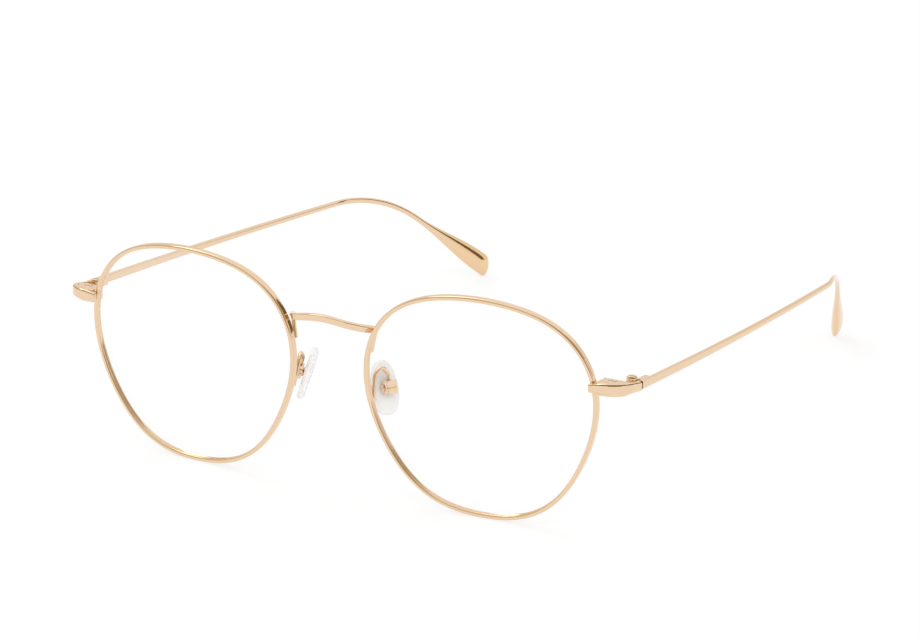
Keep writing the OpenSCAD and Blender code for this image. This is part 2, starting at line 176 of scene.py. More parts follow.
class TempleSizes(bpy.types.PropertyGroup):
    """Sizes of the temples."""

    run: length("Run", "Length from the hinge to the bend", 98)
    bend_radius: length("Bend radius", "Radius of the bend over the ear", 35)
    drop: angle("Drop", "How far the end turns down", 36.5)
    tip: length("Tip", "Length of the straight end after the bend", 24.3)
    curl: angle("Curl", "How far the end turns in towards the head", 15)
    bow: length("Bow", "How far the straight part bows in towards the head", 4)
    slope: angle("Slope", "Downward slope against the front", 6.7)
    height: length("Height", "Height at the hinge", 1.85)
    thickness: length("Thickness", "Thickness at the hinge", 0.95)
    paddle: length("Paddle", "Height of the flattened end", 5)
    paddle_thickness: length("Paddle thickness", "Thickness of the flattened end", 2.5)
    end_slant: share("End slant", "How much shorter the end is at its top", 0.2)
    reach: length("Reach", "Distance from the hinge axis to the outer face", 2.45)


class Finishes(bpy.types.PropertyGroup):
    """Colours of the finishes."""

    gold: colour("Gold", "Polished plating of the wires and straps", (0.835, 0.633, 0.44, 1))
    rosy_gold: colour("Rosy gold", "Warmer clouds in the plating", (0.835, 0.618, 0.415, 1))
    dull_gold: colour("Dull gold", "Plating of the hinges and pad metal", (0.825, 0.618, 0.41, 1))
    # Painted reflection: a deeper gold on the temples' flat ends, standing in for the shaded floor they
    # mirror
    tip_painted_reflection: colour("Tip gold", "Plating of the temples' flat ends", (0.86, 0.608, 0.37, 1))
    # Painted shade: a dark colour at the bottom of the straps' seams, standing in for the shade that falls
    # there
    seam: colour("Seam", "Dark bottom of the seams along the end pieces", (0.1, 0.065, 0.04, 1))
    screw_gold: colour("Screw gold", "Thin plating of the screws", (0.83, 0.641, 0.45, 1))
    lens_tint: colour("Lens tint", "Tint of the lenses", (0.99, 1.0, 0.995, 1))
    silicone: colour("Silicone", "Clear silicone of the pads", (0.91, 0.91, 0.905, 1))


class StageLook(bpy.types.PropertyGroup):
    """Floor, light and camera."""

    floor: colour("Floor", "Colour of the floor", (0.96, 0.96, 0.96, 1))
    sky: share("Sky", "Brightness of the even light from all round", 0.8)
    eye: place("Eye", "Place of the camera", (0.448645, -0.810787, 0.316722))
    aim: place("Aim", "Point in the middle of the view", (-0.002815, -0.0135, 0.02))
    roll: angle("Roll", "Turn of the camera about its view", 0.203)
    lens: FloatProperty(name="Lens", description="Focal length", default=175.54, subtype="DISTANCE_CAMERA")


class EyeglassesSettings(bpy.types.PropertyGroup):
    """All settings of the eyeglasses."""

    lens: PointerProperty(type=LensSizes, name="Lenses", description="Sizes of the lenses")
    front: PointerProperty(type=FrontSizes, name="Front", description="Sizes of the front")
    pad: PointerProperty(type=PadSizes, name="Nose pads", description="Sizes of the nose pads")
    temple: PointerProperty(type=TempleSizes, name="Temples", description="Sizes of the temples")
    finish: PointerProperty(type=Finishes, name="Finishes", description="Colours of the finishes")
    stage: PointerProperty(type=StageLook, name="Stage", description="Floor, light and camera")


def settings():
    return bpy.context.scene.eyeglasses


# Places, in metres
def turn(axis, radians):
    return np.array(Matrix.Rotation(radians, 4, axis))


def move(x, y, z):
    return np.array(Matrix.Translation((x, y, z)))


def carried(matrix, points):
    """Points moved by a matrix."""
    points = np.asarray(points, float)
    return points @ matrix[:3, :3].T + matrix[:3, 3]


def turned(matrix, directions):
    """Directions turned by a matrix."""
    return np.asarray(directions, float) @ matrix[:3, :3].T


def unit(vectors):
    vectors = np.asarray(vectors, float)
    return vectors / np.linalg.norm(vectors, axis=-1, keepdims=True)


def lens_middle():
    s = settings().lens
    return s.width / 2 + s.gap / 2


def hinge_spot():
    """Hinge axis in the temple frame: distance out and distance back."""
    return FOLD["pos_m"][0], HINGE_BACK


def in_temple():
    """From the temple frame, whose Z runs along the hinge, to the front's frame."""
    return move(0, 0, TEMPLE_RISE) @ turn("X", -settings().temple.slope)


def in_lens():
    """From a lens to the front's frame."""
    return move(lens_middle(), 0, 0) @ turn("Z", settings().lens.face_form)


def in_pad():
    """From a nose pad, with X away from the nose and Z up the pad, to the front's frame."""
    s = settings().pad
    aside, back, up = PAD_SPOT
    spot = move(settings().lens.gap / 2 + aside, back, up)
    return spot @ turn("Z", -s.toe) @ turn("Y", -s.splay) @ turn("X", PAD_TIP)


def stood(side):
    """From the front's frame to the row frame, mirrored for the right side."""
    lean = settings().temple.slope - math.atan2(FOLD["axis"][1], FOLD["axis"][2])
    leaned = turn("X", lean)
    out, back = hinge_spot()
    hinge = carried(leaned @ in_temple(), [out, back, 0])
    at = np.array(FOLD["pos_m"]) - hinge
    return move(0, at[1], at[2]) @ leaned @ np.diag([SIDES[side], 1.0, 1.0, 1.0])


# Outlines
def pillow(power, count):
    """A rounded square of half size 1."""
    t = 2 * np.pi * (np.arange(count) + 0.5) / count
    c, s = np.cos(t), np.sin(t)
    return np.stack(
        [np.sign(c) * np.abs(c) ** (2 / power), np.sign(s) * np.abs(s) ** (2 / power)], axis=1
    )


def filleted(corners, radii, steps):
    """A closed outline with each corner rounded off by its own radius."""
    corners = np.asarray(corners, float)
    points = []
    for i, at in enumerate(corners):
        before, after = corners[i - 1], corners[(i + 1) % len(corners)]
        a, b = unit(before - at), unit(after - at)
        half = math.acos(max(-1, min(1, float(a @ b)))) / 2
        reach = radii[i] / math.tan(half)
        reach = min(reach, 0.48 * np.linalg.norm(before - at), 0.48 * np.linalg.norm(after - at))
        r = reach * math.tan(half)
        if r < 1e-9:
            points.append(at)
            continue
        middle = at + unit(a + b) * r / math.sin(half)
        start, end = at + a * reach - middle, at + b * reach - middle
        sweep = math.atan2(start[0] * end[1] - start[1] * end[0], float(start @ end))
        for k in range(steps + 1):
            c, s = math.cos(sweep * k / steps), math.sin(sweep * k / steps)
            points.append(middle + [c * start[0] - s * start[1], s * start[0] + c * start[1]])
    return np.array(points)


def rounded_bar(width, height, radius, steps=6):
    """Section of a bar with half size 1 whose edges have the given radius."""
    w, h = width / 2, height / 2
    points = filleted([[w, -h], [w, h], [-w, h], [-w, -h]], [radius] * 4, steps)
    return points / [w, h]


def ring(count):
    """Section of a round wire of radius 1."""
    t = 2 * np.pi * np.arange(count) / count
    return np.stack([np.cos(t), np.sin(t)], axis=1)


def lens_edge(turns):
    """The bevel tip of a lens and the outward directions there, seen from the front."""
    s = settings().lens
    tilt, lean, shoulder = 0.005, 0.0025, 0.0135
    step = 0.009

    def raw(t):
        r = (
            1 + s.widen * np.cos(2 * t) - tilt * np.sin(2 * t) + s.pear * np.sin(3 * t)
            - lean * np.cos(3 * t) - s.square_up * np.cos(4 * t) + shoulder * np.sin(5 * t)
        )
        return np.stack([r * np.cos(t), r * np.sin(t)], axis=-1)

    whole = raw(np.radians(np.arange(360)))
    low, high = whole.min(0), whole.max(0)
    size = np.array([s.width, s.height]) / (high - low)
    slope = (raw(turns + step) - raw(turns - step)) * size
    return (raw(turns) - (low + high) / 2) * size, unit(np.stack([slope[:, 1], -slope[:, 0]], axis=1))


def sag(points):
    """How far a lens surface lies behind its middle."""
    r = settings().lens.curve
    return r - np.sqrt(r * r - (points**2).sum(-1))


def at_edge(turns, out, back):
    """Points round the bevel tip, moved out and back, in the lens frame."""
    points, outward = lens_edge(turns)
    moved = points + outward * out
    return np.stack([moved[:, 0], sag(points) + back, moved[:, 1]], axis=1)


def edge_spot(degrees, out, back):
    """One such point in the front's frame, with its distances in millimetres."""
    turns = np.array([math.radians(degrees)])
    return carried(in_lens(), at_edge(turns, out * MM, back * MM))[0]


def smooth_path(knots, steps):
    """A smooth line through the knots."""
    knots = np.asarray(knots, float)
    ends = np.vstack([2 * knots[0] - knots[1], knots, 2 * knots[-1] - knots[-2]])
    t = np.linspace(0, 1, steps, endpoint=False)[:, None]
    parts = []
    for i in range(len(knots) - 1):
        a, b, c, d = ends[i : i + 4]
        parts.append(
            0.5 * (2 * b + (c - a) * t + (2 * a - 5 * b + 4 * c - d) * t**2 + (3 * b - a - 3 * c + d) * t**3)
        )
    return np.vstack([*parts, knots[-1:]])


def directions_of(path):
    return unit(np.gradient(path, axis=0))


# Meshes
def new_piece(name, mesh):
    piece = bpy.data.objects.new(name, mesh)
    bpy.context.scene.collection.objects.link(piece)
    return piece


def mesh_of(name, points, faces=(), edges=()):
    mesh = bpy.data.meshes.new(name)
    mesh.from_pydata([tuple(p) for p in points], list(edges), list(faces))
    return mesh


def as_plain_mesh(piece):
    """The piece as its modifiers make it, as a mesh of its own."""
    bpy.context.view_layer.update()
    graph = bpy.context.evaluated_depsgraph_get()
    mesh = bpy.data.meshes.new_from_object(piece.evaluated_get(graph), depsgraph=graph)
    if not mesh.polygons:
        raise RuntimeError(f"{piece.name} came out empty")
    old, name = piece.data, piece.data.name
    piece.modifiers.clear()
    piece.data = mesh
    bpy.data.meshes.remove(old)
    mesh.name = name
    return piece


def finished(piece, node, material, sharp=40):
    """Closes and smooths a piece, and puts it in the place of a CAD node."""
    mesh = piece.data
    shape = bmesh.new()
    shape.from_mesh(mesh)
    bmesh.ops.remove_doubles(shape, verts=shape.verts, dist=1e-7)
    bmesh.ops.recalc_face_normals(shape, faces=shape.faces)
    shape.to_mesh(mesh)
    shape.free()
    mesh.shade_smooth()
    mesh.set_sharp_from_angle(angle=math.radians(sharp))
    mesh.materials.clear()
    mesh.materials.append(material)
    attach(piece, body_of(frame["nodes"][node])[0])
    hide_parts(node)
    return piece


def lofted(name, rings):
    """A closed skin through rings of points, with a middle point on each end."""
    rings = np.asarray(rings, float)
    count, size = rings.shape[:2]
    points = [*rings.reshape(-1, 3), rings[0].mean(0), rings[-1].mean(0)]
    faces = []
    for i in range(count - 1):
        for j in range(size):
            k = (j + 1) % size
            faces.append((i * size + j, i * size + k, (i + 1) * size + k, (i + 1) * size + j))
    for j in range(size):
        k = (j + 1) % size
        faces.append((count * size, k, j))
        faces.append((count * size + 1, (count - 1) * size + j, (count - 1) * size + k))
    return new_piece(name, mesh_of(name, points, faces))


def node_adder(tree):
    """A function that adds a node to the tree, with its settings and with values or links for its inputs."""

    def add(kind, inputs=None, **values):
        node = tree.nodes.new(kind)
        for key, value in values.items():
            setattr(node, key, value)
        for key, value in (inputs or {}).items():
            if isinstance(value, bpy.types.NodeSocket):
                tree.links.new(value, node.inputs[key])
            else:
                node.inputs[key].default_value = value
        return node

    return add


def wire_tree():
    """Draws a section along a path. The path's points hold the section's two directions."""
    name = "Wire along a path"
    if name in bpy.data.node_groups:
        return bpy.data.node_groups[name]
    tree = bpy.data.node_groups.new(name, "GeometryNodeTree")
    for label, kind in (
        ("Path", "Geometry"), ("Section", "Object"), ("Half width", "Float"), ("Half height", "Float"),
        ("Finish", "Material"),
    ):
        tree.interface.new_socket(label, in_out="INPUT", socket_type="NodeSocket" + kind)
    tree.interface.new_socket("Wire", in_out="OUTPUT", socket_type="NodeSocketGeometry")

    add = node_adder(tree)
    given = add("NodeGroupInput").outputs
    path = add("GeometryNodeMeshToCurve", {"Mesh": given["Path"]})
    section = add("GeometryNodeObjectInfo", {"Object": given["Section"]})
    outline = add("GeometryNodeMeshToCurve", {"Mesh": section.outputs["Geometry"]})
    where = add("GeometryNodeInputPosition").outputs["Position"]
    kept = []
    for curve, label in ((path, "Middle"), (outline, "Corner")):
        capture = add("GeometryNodeCaptureAttribute", domain="POINT")
        capture.capture_items.new("VECTOR", label)
        tree.links.new(curve.outputs["Curve"], capture.inputs[0])
        tree.links.new(where, capture.inputs[1])
        kept.append(capture.outputs)
    middle, corner = kept
    skin = add("GeometryNodeCurveToMesh", {"Curve": middle[0], "Profile Curve": corner[0], "Fill Caps": True})

    parts = add("ShaderNodeSeparateXYZ", {0: corner[1]}).outputs
    spot = middle[1]
    for part, size, direction in (("X", "Half width", "across"), ("Y", "Half height", "upright")):
        scaled = add("ShaderNodeMath", {0: parts[part], 1: given[size]}, operation="MULTIPLY").outputs[0]
        named = add("GeometryNodeInputNamedAttribute", {"Name": direction}, data_type="FLOAT_VECTOR")
        reach = add(
            "ShaderNodeVectorMath", {0: named.outputs["Attribute"], "Scale": scaled}, operation="SCALE"
        )
        spot = add("ShaderNodeVectorMath", {0: spot, 1: reach.outputs[0]}, operation="ADD").outputs[0]
    shaped = add("GeometryNodeSetPosition", {"Geometry": skin.outputs["Mesh"], "Position": spot})
    real = add("GeometryNodeRealizeInstances", {"Geometry": shaped.outputs["Geometry"]})
    plated = add(
        "GeometryNodeSetMaterial", {"Geometry": real.outputs["Geometry"], "Material": given["Finish"]}
    )
    add("NodeGroupOutput", {"Wire": plated.outputs["Geometry"]})
    return tree


def wire(name, section, path, across, upright, width, height, material, shade=None):
    """A bar drawn along a path by the wire tree: its section is given with half size 1.

    The section's points may hold a painted shade, which the skin keeps."""
    count = len(path)
    mesh = mesh_of(name, path, edges=[(i, i + 1) for i in range(count - 1)])
    for label, vectors in (("across", across), ("upright", upright)):
        values = np.broadcast_to(vectors, (count, 3)).astype(np.float32)
        mesh.attributes.new(label, "FLOAT_VECTOR", "POINT").data.foreach_set("vector", values.ravel())
    size = len(section)
    flat = np.column_stack([section, np.zeros(size)])
    outline = new_piece(
        name + "_section", mesh_of(name + "_section", flat, edges=[(i, (i + 1) % size) for i in range(size)])
    )
    if shade is not None:
        outline.data.attributes.new("shade", "FLOAT", "POINT").data.foreach_set("value", shade)
    piece = new_piece(name, mesh)
    drawn = piece.modifiers.new("Wire", "NODES")
    drawn.node_group = wire_tree()
    values = {
        "Section": outline, "Half width": width / 2, "Half height": height / 2, "Finish": material
    }
    for item in drawn.node_group.interface.items_tree:
        if item.in_out == "INPUT" and item.name in values:
            drawn[item.identifier] = values[item.name]
    as_plain_mesh(piece)
    for label in ("across", "upright"):
        layer = piece.data.attributes.get(label)
        if layer:
            piece.data.attributes.remove(layer)
    bpy.data.meshes.remove(outline.data)
    return piece


def with_ends(values):
    """The values along a path, repeated for the points that rounded_ends adds."""
    return np.concatenate([values[:1]] * END_STEPS + [values] + [values[-1:]] * END_STEPS)


def rounded_ends(path, radius, half):
    """The path with more points at each end, and the section's size that rounds the ends off."""
    arc = np.linspace(0, np.pi / 2, END_STEPS + 1)[1:]
    out, size = np.sin(arc), 1 - (1 - np.cos(arc)) * radius / half
    start, end = unit(path[0] - path[1]), unit(path[-1] - path[-2])
    core = path.copy()
    core[0] = path[0] - start * radius
    core[-1] = path[-1] - end * radius
    before = core[0] + np.outer(out[::-1], start) * radius
    after = core[-1] + np.outer(out, end) * radius
    return np.vstack([before, core, after]), np.concatenate([size[::-1], np.ones(len(path)), size])


def round_wire(name, to_row, path, diameter):
    """A round wire with polished ends."""
    end_round, aside = 0.22, [1.0, 0.13, 0.07]
    path, size = rounded_ends(np.asarray(path), diameter * end_round, diameter / 2)
    along = directions_of(path)
    across = unit(np.cross(along, aside))
    upright = np.cross(along, across)
    return wire(
        name, ring(32), carried(to_row, path), turned(to_row, across * size[:, None]),
        turned(to_row, upright * size[:, None]), diameter, diameter, polished_gold(),
    )


def softened(name, node, radius, segments=3):
    """A copy of a CAD node with its edges polished round."""
    source = frame["nodes"][node].data
    shape = bmesh.new()
    spots = [shape.verts.new(v.co) for v in source.vertices]
    for face in source.polygons:
        shape.faces.new([spots[i] for i in face.vertices])
    bmesh.ops.remove_doubles(shape, verts=shape.verts, dist=1e-6)
    bmesh.ops.dissolve_degenerate(shape, edges=shape.edges, dist=1e-7)
    bmesh.ops.dissolve_limit(
        shape, angle_limit=math.radians(0.8), verts=shape.verts, edges=shape.edges, delimit={"NORMAL"}
    )
    mesh = bpy.data.meshes.new(name)
    shape.to_mesh(mesh)
    shape.free()
    piece = new_piece(name, mesh)
    edge = piece.modifiers.new("Polished edges", "BEVEL")
    edge.width = radius
    edge.segments = segments
    edge.limit_method = "ANGLE"
    edge.angle_limit = math.radians(35)
    edge.use_clamp_overlap = True
    return as_plain_mesh(piece)


# Finishes
def new_finish(name, inputs=None):
    """A material, its shader with the given inputs, and helpers that add a node and join two sockets."""
    material = bpy.data.materials.new(name)
    material.use_nodes = True
    tree = material.node_tree
    shader = tree.nodes["Principled BSDF"]
    for key, value in (inputs or {}).items():
        shader.inputs[key].default_value = value
    return material, shader, node_adder(tree), tree.links.new


def mapped(add, value, source, target):
    """A node's value carried from one range to another."""
    ends = {"From Min": source[0], "From Max": source[1], "To Min": target[0], "To Max": target[1]}
    return add("ShaderNodeMapRange", {"Value": value, **ends}).outputs[0]


def seen_directly(add):
    """1 for rays that show the background to the camera, in metal or through the lenses."""
    path = add("ShaderNodeLightPath")
    both = add(
        "ShaderNodeMath",
        {0: path.outputs["Is Camera Ray"], 1: path.outputs["Is Glossy Ray"]},
        operation="MAXIMUM",
    )
    return add(
        "ShaderNodeMath", {0: both.outputs[0], 1: path.outputs["Is Transmission Ray"]}, operation="MAXIMUM"
    ).outputs[0]


def plating(name, tones, rough, clouds, grain, stretch, depth, shaded=None):
    """Plated metal: clouds of two tones, a roughness that wanders and a fine grain.

    Where a shaded tone is given, the piece's attribute "shade" blends towards it: painted shade in the
    straps' seams and a painted reflection on the temples' flat ends."""
    if name in bpy.data.materials:
        return bpy.data.materials[name]
    material, shader, add, join = new_finish(name, {"Metallic": 1.0})
    spot = add("ShaderNodeTexCoord").outputs["Object"]
    cloud = add("ShaderNodeTexNoise", {"Vector": spot, "Scale": clouds, "Detail": 3.0})
    tone = add("ShaderNodeMix", data_type="RGBA")
    join(cloud.outputs["Fac"], tone.inputs["Factor"])
    tone.inputs[6].default_value, tone.inputs[7].default_value = tones
    if shaded:
        part = add("ShaderNodeAttribute", attribute_name="shade")
        blend = add("ShaderNodeMix", {6: tone.outputs[2], 7: shaded}, data_type="RGBA")
        join(part.outputs["Fac"], blend.inputs["Factor"])
        tone = blend
    join(tone.outputs[2], shader.inputs["Base Color"])
    drawn = add("ShaderNodeMapping", {"Vector": spot, "Scale": stretch})
    fine = add("ShaderNodeTexNoise", {"Vector": drawn.outputs[0], "Scale": grain, "Detail": 4.0})
    join(mapped(add, fine.outputs["Fac"], (0.3, 0.7), rough), shader.inputs["Roughness"])
    bump = add("ShaderNodeBump", {"Height": fine.outputs["Fac"], "Strength": 0.25, "Distance": depth})
    join(bump.outputs[0], shader.inputs["Normal"])
    return material


def polished_gold(name="polished_gold", shaded=None):
    s = settings().finish
    return plating(
        name, (s.gold, s.rosy_gold), rough=(0.06, 0.14), clouds=120, grain=5200, stretch=(1, 1, 1),
        depth=1.5e-6, shaded=shaded,
    )


def strap_gold():
    # Plating with painted shade at the bottom of the straps' seams
    return polished_gold("strap_gold", settings().finish.seam)


def temple_gold():
    # Plating with a painted reflection blended over the temples' flat ends
    return polished_gold("temple_gold", settings().finish.tip_painted_reflection)


def dull_gold():
    s = settings().finish
    return plating(
        "dull_gold", (s.dull_gold, s.gold), rough=(0.16, 0.32), clouds=300, grain=5200,
        stretch=(1, 0.25, 1), depth=4e-6,
    )


def turned_gold():
    s = settings().finish
    return plating(
        "turned_gold", (s.screw_gold, s.dull_gold), rough=(0.14, 0.28), clouds=600, grain=7000,
        stretch=(1, 1, 0.2), depth=4e-6,
    )


def clear_lens():
    name = "clear_lens"
    if name in bpy.data.materials:
        return bpy.data.materials[name]
    tint = settings().finish.lens_tint
    material, shader, add, join = new_finish(name, {"Base Color": tint, "Metallic": 1.0, "Alpha": 0.045})
    spot = add("ShaderNodeTexCoord").outputs["Object"]
    wiped = add("ShaderNodeTexNoise", {"Vector": spot, "Scale": 160.0, "Detail": 5.0, "Distortion": 1.2})
    join(mapped(add, wiped.outputs["Fac"], (0.45, 0.75), (0, 0.012)), shader.inputs["Roughness"])
    return material


def clear_silicone():
    name = "clear_silicone"
    if name in bpy.data.materials:
        return bpy.data.materials[name]
    material, shader, add, join = new_finish(name, {
        "Base Color": settings().finish.silicone, "IOR": 1.41, "Alpha": 0.86, "Subsurface Weight": 0.7,
        "Subsurface Radius": (1, 1, 1), "Subsurface Scale": 1.2 * MM,
    })
    spot = add("ShaderNodeTexCoord").outputs["Object"]
    skin = add("ShaderNodeTexNoise", {"Vector": spot, "Scale": 400.0, "Detail": 2.0})
    join(mapped(add, skin.outputs["Fac"], (0.3, 0.7), (0.22, 0.36)), shader.inputs["Roughness"])
    bump = add("ShaderNodeBump", {"Height": skin.outputs["Fac"], "Strength": 0.1, "Distance": 2e-6})
    join(bump.outputs[0], shader.inputs["Normal"])
    return material


class EYEGLASSES_OT_rims(bpy.types.Operator):
    """Draws the rim wires, each with its lens groove and its split."""

    bl_idname = "eyeglasses.rims"
    bl_label = "Rims"

    def execute(self, context):
        s = settings().front
        half_split, crown, heel_edge = math.radians(0.06), 0.42 * MM, 0.2 * MM
        turns = np.linspace(s.split_turn + half_split, s.split_turn + 2 * math.pi - half_split, 361)
        middle = LENS_FIT - s.groove + s.rim_width / 2
        w, d, tip = s.rim_width / 2, s.rim_depth / 2, s.groove
        arc = np.linspace(0, np.pi, 25)
        front = np.column_stack([w * np.cos(arc), crown - d - crown * np.sin(arc)])
        heel = front[len(arc) // 2 :] * [1, -1]
        corners = [*front, [-w, -tip], [tip - w, 0], [-w, tip], *heel[::-1], [w, d]]
        section = filleted(corners, [0] * (len(corners) - 1) + [heel_edge], 6)
        path = at_edge(turns, middle, 0)
        outward = lens_edge(turns)[1]
        across = np.column_stack([outward[:, 0], np.zeros(len(turns)), outward[:, 1]])
        for side in SIDES:
            to_row = stood(side) @ in_lens()
            piece = wire(
                f"rim_wire_{side}", section / [w, d], carried(to_row, path), turned(to_row, across),
                turned(to_row, [0, 1, 0]), s.rim_width, s.rim_depth, polished_gold(),
            )
            finished(piece, f"{side}_rim", polished_gold(), 50)
        return {"FINISHED"}


class EYEGLASSES_OT_lenses(bpy.types.Operator):
    """Grinds the lenses: two curved faces and a bevel that sits in the groove."""

    bl_idname = "eyeglasses.lenses"
    bl_label = "Lenses"

    def execute(self, context):
        s = settings().lens
        turns = np.linspace(0, 2 * math.pi, 240, endpoint=False)
        edge = lens_edge(turns)[0]
        half = s.thickness / 2

        def face(part, back):
            flat = edge * part
            return np.stack([flat[:, 0], sag(flat) + back, flat[:, 1]], axis=1)

        parts = np.linspace(0.03, 0.965, 30)
        rings = [face(p, -half) for p in parts]
        rings += [at_edge(turns, -half, -half), at_edge(turns, 0, 0), at_edge(turns, -half, half)]
        rings += [face(p, half) for p in parts[::-1]]
        for side in SIDES:
            to_row = stood(side) @ in_lens()
            piece = lofted(f"lens_{side}_clear", [carried(to_row, r) for r in rings])
            finished(piece, f"{side}_lens", clear_lens(), 25)
        return {"FINISHED"}


class EYEGLASSES_OT_bridge(bpy.types.Operator):
    """Bends the bridge bar and puts a short wire foot under each of its ends."""

    bl_idname = "eyeglasses.bridge"
    bl_label = "Bridge"

    def execute(self, context):
        s = settings().front
        over_rim, back, edge = 0.6 * MM, 2.4 * MM, 0.26 * MM
        bow_power, twist_power = 3.6, 1.4
        most_twist, untwisted = math.radians(32), 0.7
        end = settings().lens.gap / 2 + over_rim
        t = np.linspace(-1, 1, 161)
        ahead = s.bridge_bow * (1 - np.abs(t) ** bow_power)
        path = np.column_stack([end * t, back - ahead, s.bridge_rise + s.bridge_arch * (1 - t**2)])
        along = directions_of(path)
        across = unit(np.column_stack([along[:, 1], -along[:, 0], np.zeros(len(t))]))
        upright = np.cross(across, along)
        past = np.clip((np.abs(t) - untwisted) / (1 - untwisted), 0, 1)[:, None]
        twist = most_twist * past**twist_power
        across, upright = (
            across * np.cos(twist) - upright * np.sin(twist),
            upright * np.cos(twist) + across * np.sin(twist),
        )
        path, size = rounded_ends(path, s.soft_edge, s.bridge_depth / 2)
        across, upright = [with_ends(v) * size[:, None] for v in (across, upright)]
        to_row = stood("left")
        section = rounded_bar(s.bridge_depth, s.bridge_height, edge)
        piece = wire(
            "bridge_bar", section, carried(to_row, path), turned(to_row, across), turned(to_row, upright),
            s.bridge_depth, s.bridge_height, polished_gold(),
        )
        finished(piece, "bridge", polished_gold())

        foot_turn, foot_out, braze = 166, 0.1, 0.06
        under_top, past_end = 0.3 * MM, 0.2 * MM
        low = edge_spot(foot_turn, foot_out, (s.rim_depth + s.foot_wire) / 2 / MM + braze)
        top = np.array([end, back, s.bridge_rise + s.bridge_height / 2 - under_top])
        top[:2] += along[-1, :2] * (s.foot_wire / 2 + past_end)
        foot = np.linspace(low, top, 40)
        for side in SIDES:
            piece = round_wire(f"bridge_foot_wire_{side}", stood(side), foot, s.foot_wire)
            finished(piece, f"{side}_bridge_foot", polished_gold())
        return {"FINISHED"}


class EYEGLASSES_OT_end_pieces(bpy.types.Operator):
    """Wraps the end-piece straps round the corners and fits the rim locks inside them."""

    bl_idname = "eyeglasses.end_pieces"
    bl_label = "End pieces"

    def execute(self, context):
        s = settings().front
        out = hinge_spot()[0] + settings().temple.reach
        over_rim, hinge_gap, spare = 0.85 * MM, 0.15 * MM, 0.05 * MM
        start = lens_middle() + settings().lens.width / 2 - over_rim
        corner = np.array([out - s.corner, STRAP_FACE + s.corner])
        radius = s.corner - s.strap / 2
        end = hinge_spot()[1] - hinge_gap
        bend = np.linspace(-np.pi / 2, 0, 40)
        straight = np.linspace(start, corner[0], 30, endpoint=False)
        to_hinge = np.linspace(corner[1], end, 13)[1:]
        plan = np.vstack([
            np.column_stack([straight, np.full_like(straight, STRAP_FACE + s.strap / 2)]),
            corner + radius * np.column_stack([np.cos(bend), np.sin(bend)]),
            np.column_stack([np.full_like(to_hinge, out - s.strap / 2), to_hinge]),
        ])
        way = unit(np.gradient(plan, axis=0))
        aside = np.column_stack([way[:, 1], -way[:, 0]])
        t = np.concatenate([[0], np.cumsum(np.linalg.norm(np.diff(plan, axis=0), axis=1))])
        t /= t[-1]
        tall = settings().temple.height / 2 + spare
        # Lower and upper edge of the strap from the rim to the hinge
        low = (-0.85 + 0.1 * np.sin(np.pi * t) - 0.4 * t**4) * MM
        high = (0.94 - 0.13 * t + 0.72 * np.sin(np.pi * t**0.9)) * MM
        path = np.column_stack([plan, (low + high) / 2])
        half = (high - low) / 2
        path, size = rounded_ends(path, s.soft_edge, s.strap / 2)
        across = with_ends(np.column_stack([aside, np.zeros(len(aside))])) * size[:, None]
        shrink = (1 - size) * s.strap / 2
        upright = np.outer((with_ends(half) - shrink) / tall, [0, 0, 1.0])
        section, shade = self.seamed_section(s.strap / 2, tall, s.soft_edge)
        # Strength of the painted seam shade: full on the left strap, weaker on the right
        painted_seam_shade = {"left": 1, "right": 0.3}
        for side in SIDES:
            to_row = stood(side) @ in_temple()
            piece = wire(
                f"end_piece_strap_{side}", section, carried(to_row, path), turned(to_row, across),
                turned(to_row, upright), s.strap, 2 * tall, strap_gold(), shade * painted_seam_shade[side],
            )
            finished(piece, f"{side}_end_piece", strap_gold())
            for half_lock in ("upper", "lower"):
                piece = softened(f"rim_lock_{half_lock}_{side}", f"{side}_lock_{half_lock}", s.soft_edge)
                if half_lock == "lower":
                    self.trimmed(piece, to_row, low.min() - spare)
                finished(piece, f"{side}_lock_{half_lock}", polished_gold())
        return {"FINISHED"}

    def seamed_section(self, w, tall, soft):
        """Section of the strap with a thin seam in its outer upper edge, and the painted shade on the seam's
        points.
        """
        belly, crest, steps = 0.52 * MM, 0.45 * MM, 8
        half_seam, deep = 0.05 * MM, 0.25 * MM
        corners = [[w, -tall], [w, tall], [-w, tall], [-w, -tall]]
        section = filleted(corners, [belly, crest, soft, soft], steps)
        i = steps + 4
        inwards = unit([w - crest, tall - crest] - section[i])
        lip = np.array([inwards[1], -inwards[0]]) * half_seam
        bottom = section[i] + inwards * deep
        seam = [section[i] - lip, bottom - lip, bottom + lip, section[i] + lip]
        section = np.vstack([section[:i], seam, section[i + 1 :]]) / [w, tall]
        # Painted shade on the seam's four points
        shade = np.zeros(len(section), np.float32)
        shade[i : i + 4] = 1
        return section, shade

    def trimmed(self, piece, to_row, floor):
        """Lifts what lies under the strap's lower edge."""
        points = carried(np.linalg.inv(to_row), [v.co for v in piece.data.vertices])
        points[:, 2] = np.maximum(points[:, 2], floor)
        for vertex, at in zip(piece.data.vertices, carried(to_row, points)):
            vertex.co = at


class EYEGLASSES_OT_hinges(bpy.types.Operator):
    """Rounds the edges of the hinge leaves and their knuckles."""

    bl_idname = "eyeglasses.hinges"
    bl_label = "Hinges"

    def execute(self, context):
        edge = 0.08 * MM
        for side in SIDES:
            for leaf in ("front", "temple"):
                piece = softened(f"hinge_leaf_{leaf}_{side}", f"{side}_hinge_{leaf}", edge)
                finished(piece, f"{side}_hinge_{leaf}", dull_gold())
        return {"FINISHED"}


